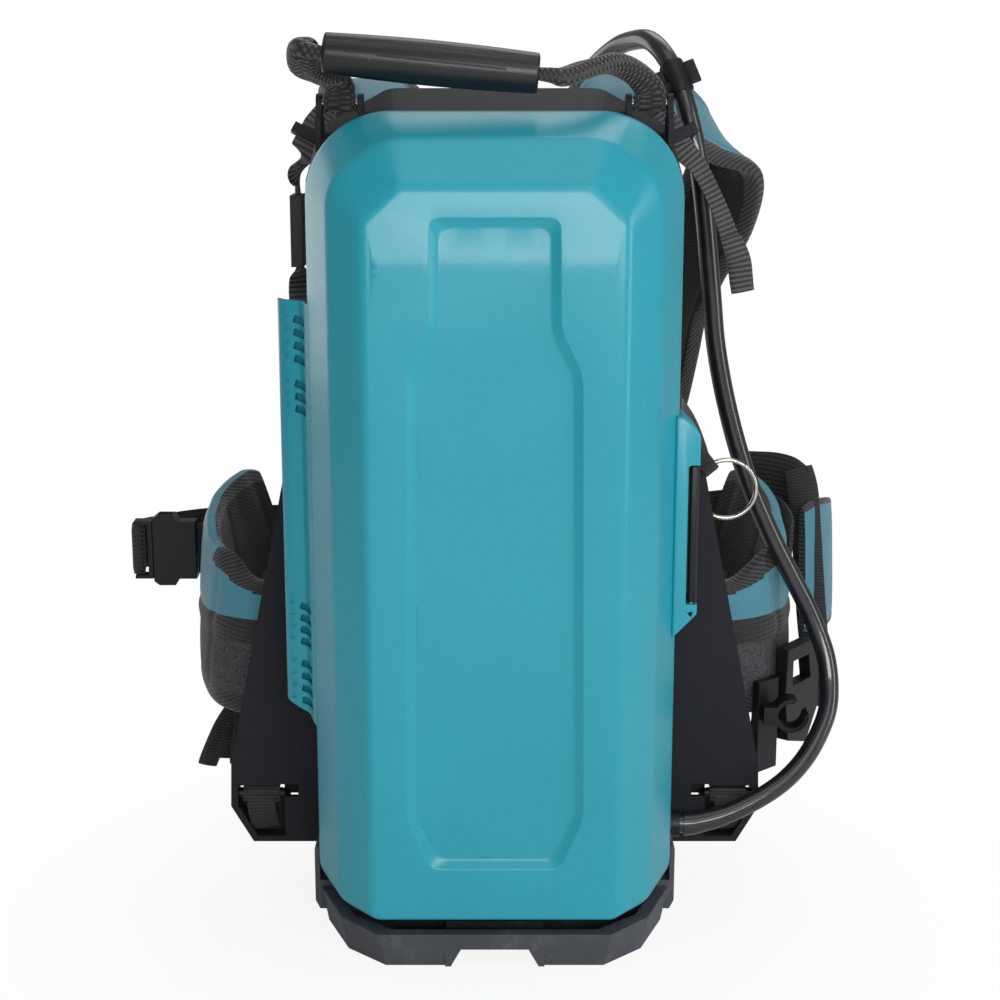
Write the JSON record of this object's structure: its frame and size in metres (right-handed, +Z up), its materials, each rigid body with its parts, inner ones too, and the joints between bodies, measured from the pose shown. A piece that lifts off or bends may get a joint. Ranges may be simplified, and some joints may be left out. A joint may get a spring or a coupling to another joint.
{
  "type": "backpack battery power pack",
  "caption": "Battery case on a padded backpack harness, with a hinged front cover, slide-in batteries, a carry handle, and a thick power lead clipped over one shoulder strap.",
  "frame": {"origin": "on the floor, under the middle of the case, at the foot's underside", "axes": "+X to the right as seen from the front cover, -Y out of the front cover, +Y towards the wearer, +Z up"},
  "size_m": [0.5093, 0.348, 0.5714],
  "materials": {
    "teal_plastic": "satin",
    "charcoal_plastic": "matt",
    "foot_grey": "matt",
    "black_plastic": "satin",
    "grip_black": "semi-gloss",
    "cord_black": "gloss",
    "seal_rubber": "matt",
    "steel": "bright zinc",
    "nickel": "polished nickel",
    "red_plastic": "satin",
    "grey_plastic": "satin",
    "clear_lens": "frosted",
    "black_webbing": "woven",
    "teal_fabric": "woven nylon",
    "black_mesh": "air mesh"
  },
  "bodies": {
    "case": {"rear_shell": "charcoal_plastic", "cover_seal": "seal_rubber", "hinge_pin": "steel", "latch_pin": "steel", "base_foot": "foot_grey", "foot_screws": "steel", "battery_tray": "charcoal_plastic", "tray_screws": "steel", "terminal_block_1": "black_plastic", "terminal_block_2": "black_plastic", "terminal_block_3": "black_plastic", "terminal_block_4": "black_plastic", "control_box": "charcoal_plastic", "indicator_lens": "clear_lens", "inner_leads": "cord_black", "cord_gland": "black_plastic", "power_cord": "cord_black", "cord_plug": "black_plastic", "cord_clip": "black_plastic", "handle_pins": "steel", "harness_plate": "charcoal_plastic", "plate_screws": "steel", "strap_bars": "black_plastic", "back_pad": "black_mesh", "shoulder_strap_left": "teal_fabric", "shoulder_strap_right": "teal_fabric", "lifter_webbing_left": "black_webbing", "lifter_webbing_right": "black_webbing", "lifter_buckles": "black_plastic", "lower_webbing_left": "black_webbing", "lower_webbing_right": "black_webbing", "chest_webbing": "black_webbing", "chest_buckle": "black_plastic", "hip_pad_left": "teal_fabric", "hip_pad_right": "teal_fabric", "waist_webbing": "black_webbing", "buckle_webbing": "black_webbing", "buckle_socket": "black_plastic", "tool_holder": "black_plastic", "tool_hook": "black_plastic", "ring_webbing": "black_webbing"},
    "cover": {"front_cover": "teal_plastic"},
    "latch": {"latch_lever": "black_plastic"},
    "check_button": {"check_button": "grey_plastic"},
    "carry_handle": {"handle_grip": "grip_black", "handle_webbing": "black_webbing"},
    "steel_ring": {"steel_ring": "nickel"},
    "buckle_prongs": {"buckle_prongs": "black_plastic", "buckle_fold": "black_webbing"},
    "battery_1": {"battery_1": "black_plastic"},
    "battery_button_1": {"battery_button_1": "red_plastic"},
    "battery_2": {"battery_2": "black_plastic"},
    "battery_button_2": {"battery_button_2": "red_plastic"},
    "battery_3": {"battery_3": "black_plastic"},
    "battery_button_3": {"battery_button_3": "red_plastic"},
    "battery_4": {"battery_4": "black_plastic"},
    "battery_button_4": {"battery_button_4": "red_plastic"}
  },
  "joints": [
    {"name": "cover_hinge", "type": "hinge", "parent": "case", "child": "cover", "pos_m": [-0.129, 0.026, 0.27], "axis": [0, 0, -1], "range_deg": [0, 110]},
    {"name": "latch_release", "type": "hinge", "parent": "cover", "child": "latch", "pos_m": [0.123, -0.0104, 0.264], "axis": [0, 0, -1], "range_deg": [0, 32], "stiffness_Nm_per_rad": 0.05, "springref_deg": -5.73},
    {"name": "battery_1_slide", "type": "slide", "parent": "case", "child": "battery_1", "axis": [0, 0, 1], "range_m": [0, 0.05]},
    {"name": "battery_2_slide", "type": "slide", "parent": "case", "child": "battery_2", "axis": [0, 0, 1], "range_m": [0, 0.05]},
    {"name": "battery_3_slide", "type": "slide", "parent": "case", "child": "battery_3", "axis": [0, 0, 1], "range_m": [0, 0.05]},
    {"name": "battery_4_slide", "type": "slide", "parent": "case", "child": "battery_4", "axis": [0, 0, 1], "range_m": [0, 0.05]},
    {"name": "battery_1_release", "type": "slide", "parent": "battery_1", "child": "battery_button_1", "axis": [0, 1, 0], "range_m": [0, 0.0025], "stiffness_N_per_m": 300, "springref_m": -0.001},
    {"name": "battery_2_release", "type": "slide", "parent": "battery_2", "child": "battery_button_2", "axis": [0, 1, 0], "range_m": [0, 0.0025], "stiffness_N_per_m": 300, "springref_m": -0.001},
    {"name": "battery_3_release", "type": "slide", "parent": "battery_3", "child": "battery_button_3", "axis": [0, 1, 0], "range_m": [0, 0.0025], "stiffness_N_per_m": 300, "springref_m": -0.001},
    {"name": "battery_4_release", "type": "slide", "parent": "battery_4", "child": "battery_button_4", "axis": [0, 1, 0], "range_m": [0, 0.0025], "stiffness_N_per_m": 300, "springref_m": -0.001},
    {"name": "check_button_press", "type": "slide", "parent": "case", "child": "check_button", "axis": [0, 1, 0], "range_m": [0, 0.0015], "stiffness_N_per_m": 300, "springref_m": -0.001},
    {"name": "handle_swing", "type": "hinge", "parent": "case", "child": "carry_handle", "pos_m": [0, 0.035, 0.525], "axis": [1, 0, 0], "range_deg": [-80, 6]},
    {"name": "ring_swing", "type": "hinge", "parent": "case", "child": "steel_ring", "pos_m": [0.14314, 0.0895, 0.28532], "axis": [0.766, 0, 0.6428], "range_deg": [0, 15]},
    {"name": "buckle_release", "type": "slide", "parent": "case", "child": "buckle_prongs", "axis": [-1, 0, 0], "range_m": [0, 0.025]}
  ]
}
